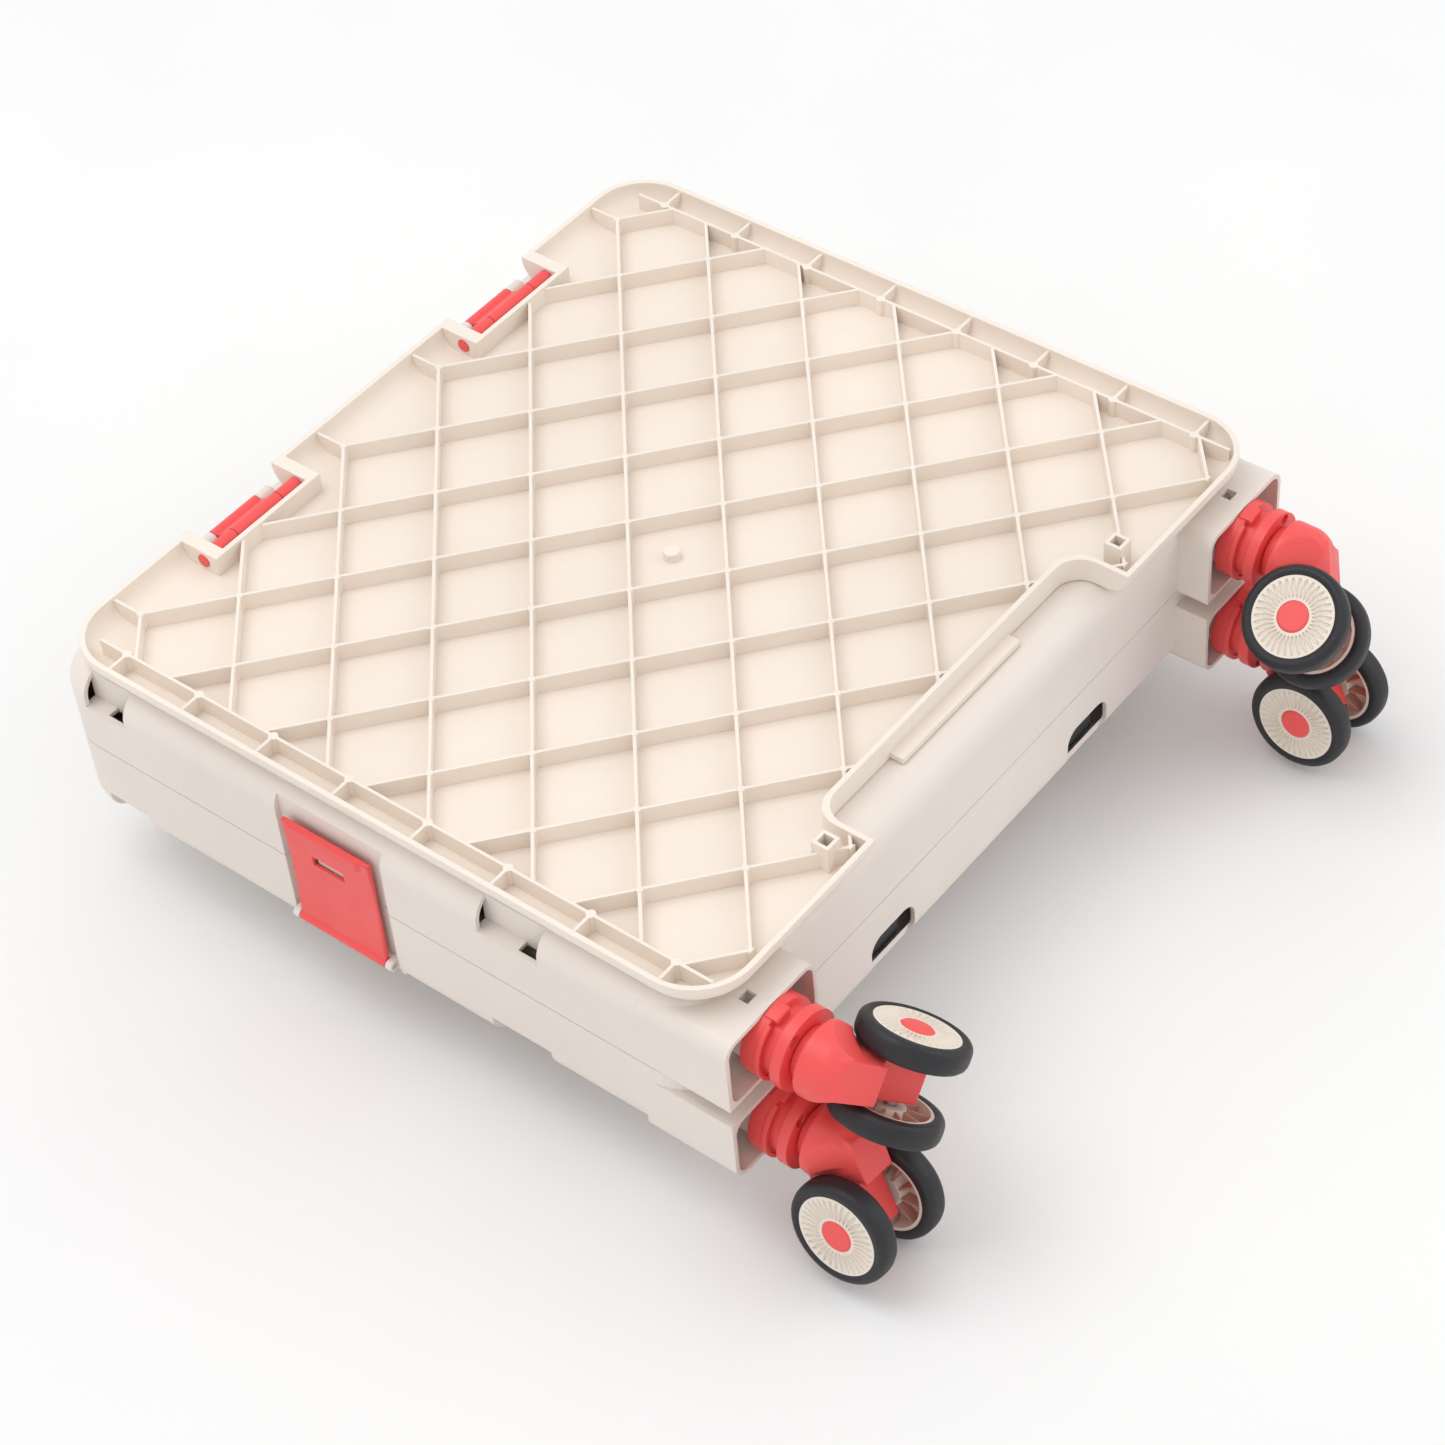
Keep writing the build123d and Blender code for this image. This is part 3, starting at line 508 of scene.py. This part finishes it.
def fork_cutters(caster):
    """Prisms that trim the housing to its straight slanting arm and its flat cheeks."""
    place = fork_place(caster)
    half, past = ARM_WIDTH / 2, ARM_PAST_AXLE
    inner = (arm_point(-16, -half), arm_point(22, -half), (250, 60), (250, 20.5), (267, 20.5))
    outer = (arm_point(-14, half), arm_point(20, half), (325, 45), (325, 5), (287, 5))
    end = (arm_point(past, -20), arm_point(past + 20, -20), arm_point(past + 20, 20), arm_point(past, 20))
    cheek = ((259, 20.5), (280, 10.7), (305, 10.7), (305, 30), (259, 30))
    solids = [prism(outline, lambda u, v, top: place(u, v, CUT_DEPTH if top else -CUT_DEPTH))
              for outline in (inner, outer, end)]
    for sign in (-1, 1):
        solids.append(prism(cheek, lambda u, v, top: place(u, 50 if top else -CUT_DEPTH, sign * v)))
    return [add_object(f"{caster}_cutter", vertices, faces, MATERIALS["coral"], smooth=False)
            for vertices, faces in solids]


def fork_housing(caster):
    """The fork's moulded housing: the CAD solid trimmed to its arm, with its corners blended."""
    source = frame["nodes"][f"{caster}_fork"]
    mesh = source.data.copy()
    mesh.name = f"{caster}_housing"
    work = bmesh.new()
    work.from_mesh(mesh)
    bmesh.ops.remove_doubles(work, verts=work.verts, dist=WELD)
    work.to_mesh(mesh)
    work.free()
    piece = bpy.data.objects.new(mesh.name, mesh)
    bpy.context.scene.collection.objects.link(piece)
    cutters = fork_cutters(caster)
    for cutter in cutters:
        trim = piece.modifiers.new("trim", "BOOLEAN")
        trim.operation = "DIFFERENCE"
        trim.object = cutter
    remesh = piece.modifiers.new("blend", "REMESH")
    remesh.mode = "VOXEL"
    remesh.voxel_size = HOUSING_VOXEL * MM
    soften = piece.modifiers.new("soften", "SMOOTH")
    soften.factor = 0.5
    soften.iterations = HOUSING_SMOOTHING
    view = bpy.context.evaluated_depsgraph_get()
    shaped = bpy.data.meshes.new_from_object(piece.evaluated_get(view))
    piece.modifiers.clear()
    piece.data = shaped
    for cutter in cutters:
        bpy.data.objects.remove(cutter)
    shaped.materials.clear()
    shaped.materials.append(MATERIALS["coral"])
    shaped.polygons.foreach_set("use_smooth", [True] * len(shaped.polygons))
    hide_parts(source.name)
    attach(piece, f"{caster}_fork")


def swept_arc(section, axis_y, axis_z, angles, steps=14):
    """A section of (x, radius) pairs swept about a collar's axis, closed at both ends."""
    count = len(section)
    vertices = []
    for i in range(steps + 1):
        turn = radians(angles[0] + (angles[1] - angles[0]) * i / steps)
        vertices += [(x, axis_y + radius * cos(turn), axis_z + radius * sin(turn)) for x, radius in section]
    faces = [tuple(range(count)), tuple(steps * count + k for k in reversed(range(count)))]
    for i in range(steps):
        for k in range(count):
            a, b = i * count + k, i * count + (k + 1) % count
            faces.append((a, a + count, b + count, b))
    return vertices, faces


def collar_details(caster):
    """The snap tab at the edge of a collar's groove, and the lip along part of its wide band."""
    (side, axis_z), collar_body = CASTERS[caster]
    axis_y = side * CASTER_Y
    tab = ((GROOVE_X - 4.5, 20.0), (GROOVE_X - 4.5, 22.0), (GROOVE_X - 3.8, 22.6), (GROOVE_X + 2.4, 22.6),
           (GROOVE_X + 3.2, 21.8), (GROOVE_X + 3.2, 17.0), (GROOVE_X, 17.0))
    lip = ((GROOVE_X - 1.6, 21.0), (GROOVE_X - 1.4, 21.9), (GROOVE_X + 1.0, 21.9), (GROOVE_X + 1.3, 21.5),
           (GROOVE_X + 1.3, 19.8), (GROOVE_X, 19.8))
    vertices, faces = combined([swept_arc(tab, axis_y, axis_z, TAB_ANGLES),
                                swept_arc(lip, axis_y, axis_z, LIP_ANGLES, 48)])
    piece = add_object(f"{caster}_collar_details", vertices, faces, MATERIALS["coral"])
    sharpen(piece, 35)
    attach(piece, collar_body)


# Latch

def latch_rows():
    """Grid lines of the latch plate, in mm, with the window's edges among them."""
    left, right = LATCH_X
    low, high = LATCH_Z
    xs = [left, left + 0.7, right - 0.7, right, *WINDOW_X]
    xs += [left + 3 + GRID_STEP * i for i in range(10)]
    xs += [-26 + 2.0 * i for i in range(9)] + [-5 + 2.0 * i for i in range(8)]
    zs = [low + GRID_STEP * i for i in range(31)] + [71.0 + GRID_STEP * i for i in range(4)]
    zs += [*WINDOW_Z, LEDGE_Z, LEDGE_Z + 0.7, high - 1.0, high]
    return sorted(xs), sorted(zs)


def latch_front(x, z):
    """Depth of the latch's outer face: bowed in the middle, with a grip ledge at its top."""
    along = (z - LATCH_Z[0]) / (LATCH_Z[1] - LATCH_Z[0])
    edge = min(x - LATCH_X[0], LATCH_X[1] - x)
    if z > LEDGE_Z and edge > 5:
        return LATCH_LEDGE_Y
    rounding = 0.6 if edge < 0.5 else 0.0
    return LATCH_FACE_Y + LATCH_BOW * sin(pi * along) + rounding


def latch_plate():
    """The coral latch, a bowed plate with a window near its top."""
    xs, zs = latch_rows()
    rows = len(zs)
    vertices = [(x, latch_front(x, z), z) for x in xs for z in zs]
    vertices += [(x, LATCH_BACK_Y, z) for x in xs for z in zs]
    half = len(xs) * rows
    solid = {(i, j) for i in range(len(xs) - 1) for j in range(rows - 1)
             if not (WINDOW_X[0] <= xs[i] < WINDOW_X[1] and WINDOW_Z[0] <= zs[j] < WINDOW_Z[1])}
    faces = []
    for i, j in sorted(solid):
        corners = (i * rows + j, (i + 1) * rows + j, (i + 1) * rows + j + 1, i * rows + j + 1)
        faces.append(corners)
        faces.append(tuple(half + k for k in reversed(corners)))
        around = ((i, j - 1), (i + 1, j), (i, j + 1), (i - 1, j))
        for k in range(4):
            if around[k] not in solid:
                a, b = corners[k], corners[(k + 1) % 4]
                faces.append((b, a, half + a, half + b))
    piece = add_object("latch_plate", vertices, faces, MATERIALS["coral"])
    sharpen(piece, 32)
    return piece


def latch_barrel():
    """The latch's round lower edge, which turns on its pin."""
    sides = 32
    bore, ring = ([(radius * cos(2 * pi * k / sides), radius * sin(2 * pi * k / sides)) for k in range(sides)]
                  for radius in LATCH_BARREL_R)
    left, right = LATCH_X
    loops = [(left, bore), (left, ring), (right, ring), (right, bore), (left, bore)]
    vertices = [(x, LATCH_PIN[0] + u, LATCH_PIN[1] + v) for x, loop in loops for u, v in loop]
    faces = []
    for i in range(len(loops) - 1):
        for k in range(sides):
            nxt = (k + 1) % sides
            faces.append((i * sides + k, i * sides + nxt, (i + 1) * sides + nxt, (i + 1) * sides + k))
    piece = add_object("latch_barrel", vertices, faces, MATERIALS["coral"])
    sharpen(piece, 40)
    return piece


def latch_pieces():
    for piece in (latch_plate(), latch_barrel()):
        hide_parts("latch")
        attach(piece, "latch")


# Lid details

def has_boss(x, y, lid_end):
    """Whether the ribs cross at a point: not in the notch, by the hinges or past the lid's border."""
    in_notch = x > 182 and abs(y) < 116
    by_hinge = x < -150 and abs(abs(y) - 104) < 44
    in_field = RIB_FIRST_X - 1 < x < lid_end - 12 and abs(y) < 214
    return in_field and not in_notch and not by_hinge


def boss(x, y):
    """A round boss with a chamfered top."""
    bottom, top = BOSS_Z
    chamfer_height, chamfer_width = BOSS_CHAMFER
    vertices, faces = [], []
    for z, r in ((bottom, BOSS_R), (top - chamfer_height, BOSS_R), (top, BOSS_R - chamfer_width)):
        vertices += [(x + r * cos(2 * pi * k / BOSS_SIDES), y + r * sin(2 * pi * k / BOSS_SIDES), z)
                     for k in range(BOSS_SIDES)]
    for ring in range(2):
        for k in range(BOSS_SIDES):
            a, b = ring * BOSS_SIDES + k, ring * BOSS_SIDES + (k + 1) % BOSS_SIDES
            faces.append((a, b, b + BOSS_SIDES, a + BOSS_SIDES))
    faces.append(tuple(2 * BOSS_SIDES + k for k in range(BOSS_SIDES)))
    return vertices, faces


def rib_bosses():
    """Small round bosses where the lid's ribs cross."""
    lid_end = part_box("lid")[1][0] / MM
    crossings = [(RIB_FIRST_X + i * RIB_CELL[0] / 2, j * RIB_CELL[1] / 2)
                 for i in range(-4, 14) for j in range(-8, 9) if (i + j) % 2]
    vertices, faces = combined([boss(x, y) for x, y in crossings if has_boss(x, y, lid_end)])
    piece = add_object("lid_rib_bosses", vertices, faces, MATERIALS["cream_lid"])
    sharpen(piece, 50)
    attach(piece, "lid")


# Studio

def build_floor():
    """A wide thin slab just under the lowest wheels."""
    size, thickness = 6.0, 0.02
    low = cad_box[0][2] - 0.0003
    vertices = [(x, y, z) for z in (low - thickness, low) for x, y in
                ((-size, -size), (size, -size), (size, size), (-size, size))]
    vertices = [tuple(value / MM for value in vertex) for vertex in vertices]
    faces = [(0, 3, 2, 1), (4, 5, 6, 7), (0, 1, 5, 4), (1, 2, 6, 5), (2, 3, 7, 6), (3, 0, 4, 7)]
    piece = add_object("studio_floor", vertices, faces, floor_paint(), smooth=False)


def area_light(name, place, target, size, power):
    data = bpy.data.lights.new(name, "AREA")
    data.size = size
    data.energy = power
    light = bpy.data.objects.new(name, data)
    light.location = place
    light.rotation_euler = (Vector(target) - Vector(place)).to_track_quat("-Z", "Y").to_euler()
    bpy.context.scene.collection.objects.link(light)


def light_the_studio():
    world = bpy.data.worlds.new("studio")
    world.use_nodes = True
    background = world.node_tree.nodes["Background"]
    background.inputs["Color"].default_value = (1.0, 1.0, 1.0, 1.0)
    background.inputs["Strength"].default_value = 0.88
    bpy.context.scene.world = world
    bpy.context.scene.view_settings.view_transform = "Standard"
    area_light("key", (-0.6, -0.5, 2.2), (0, 0, 0.05), 1.4, 14.0)
    area_light("fill", (1.6, 1.4, 1.5), (0, 0, 0.05), 1.6, 8.0)


def place_camera():
    azimuth, elevation, roll = (radians(a) for a in (CAMERA_AZIMUTH, CAMERA_ELEVATION, CAMERA_ROLL))
    back = Vector((sin(azimuth) * cos(elevation), -cos(azimuth) * cos(elevation), sin(elevation)))
    level = Vector((cos(azimuth), sin(azimuth), 0))
    up = back.cross(level)
    right = level * cos(roll) + up * sin(roll)
    up = up * cos(roll) - level * sin(roll)
    data = bpy.data.cameras.new("photo_camera")
    data.lens = CAMERA_LENS
    data.sensor_width = 36.0
    camera = bpy.data.objects.new("photo_camera", data)
    rotation = Matrix((right, up, back)).transposed().to_4x4()
    camera.matrix_world = Matrix.Translation(CAMERA_TARGET + back * CAMERA_DISTANCE) @ rotation
    bpy.context.scene.collection.objects.link(camera)
    bpy.context.scene.camera = camera


paint_cad_nodes()
for caster_name in CASTERS:
    fork_housing(caster_name)
    for wheel_letter in ("a", "b"):
        wheel_cover(caster_name, wheel_letter)
        hub_ribs(caster_name, wheel_letter)
        smooth_tyre(caster_name, wheel_letter)
    collar_details(caster_name)
latch_pieces()
rib_bosses()
build_floor()
light_the_studio()
place_camera()
